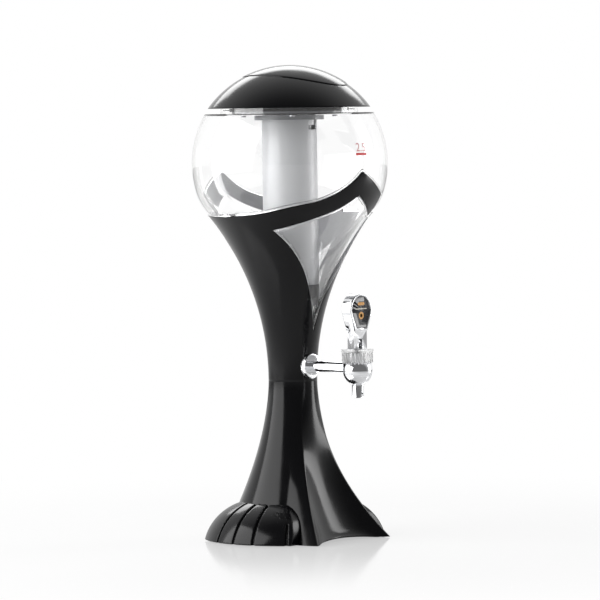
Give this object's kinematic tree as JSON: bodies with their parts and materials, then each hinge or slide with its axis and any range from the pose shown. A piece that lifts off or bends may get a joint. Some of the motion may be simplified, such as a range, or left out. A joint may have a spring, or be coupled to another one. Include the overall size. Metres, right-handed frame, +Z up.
{
  "type": "beer tower dispenser",
  "caption": "Clear ball tank on a flared black stand with winding arms, lift-off lid with an ice tube, and a chrome tap with a tipping lever.",
  "frame": {"origin": "on the tower's axis, at table height under the rubber feet", "axes": "+Z up along the tower's axis, -Y towards the tap (front), +X to the right seen from the front"},
  "size_m": [0.2052, 0.2109, 0.4963],
  "materials": {
    "gloss_black": "high gloss moulding",
    "inner_black": "plain moulding",
    "clear_shell": "clear, polished",
    "frosted_tube": "frosted, satin",
    "pale_grey": "semi gloss",
    "smoke_grey": "tinted clear",
    "chrome": "mirror plated",
    "steel": "bright turned",
    "rubber": "matt",
    "badge": "printed, gloss"
  },
  "bodies": {
    "tower": {"lower_shell": "gloss_black", "paw_cover_left": "gloss_black", "paw_cover_right": "gloss_black", "base_plate": "inner_black", "base_screws": "steel", "rubber_feet": "rubber", "neck_coupling": "inner_black", "neck_screws": "steel", "upper_shell": "gloss_black", "tank": "clear_shell", "tank_washer": "rubber", "tank_nut": "steel", "tap_pipe": "chrome", "tap_flange": "chrome", "tap_body": "chrome", "tap_spout": "chrome", "tap_collar_nut": "smoke_grey", "tap_spring": "steel"},
    "valve": {"valve_stem": "steel", "valve_plug": "rubber"},
    "lever": {"tap_lever": "chrome", "lever_pin": "steel", "badge_plate": "badge"},
    "lid": {"lid_dome": "gloss_black", "lid_top_cap": "gloss_black", "lid_inner_plate": "pale_grey", "lid_screws": "steel", "lid_seal": "rubber", "tube_collar": "pale_grey"},
    "ice_holder": {"ice_tube": "frosted_tube", "ice_tube_end_cap": "inner_black", "ice_tube_seal": "rubber"}
  },
  "joints": [
    {"name": "lid_lift", "type": "slide", "parent": "tower", "child": "lid", "axis": [0, 0, 1], "range_m": [0, 0.215]},
    {"name": "tube_twist", "type": "hinge", "parent": "lid", "child": "ice_holder", "pos_m": [0, 0, 0.431], "axis": [0, 0, 1], "range_deg": [-20, 0]},
    {"name": "valve_lift", "type": "slide", "parent": "tower", "child": "valve", "axis": [0, 0, 1], "range_m": [0, 0.0036], "stiffness_N_per_m": 600, "springref_m": -0.006, "deforming": ["tap_spring"]},
    {"name": "lever_tilt", "type": "hinge", "parent": "valve", "child": "lever", "pos_m": [0, -0.0896, 0.2086], "axis": [1, 0, 0], "range_deg": [0, 40]}
  ],
  "couplings": [
    {"joint": "valve_lift", "follows": "lever_tilt", "m_per_rad": 0.005}
  ]
}
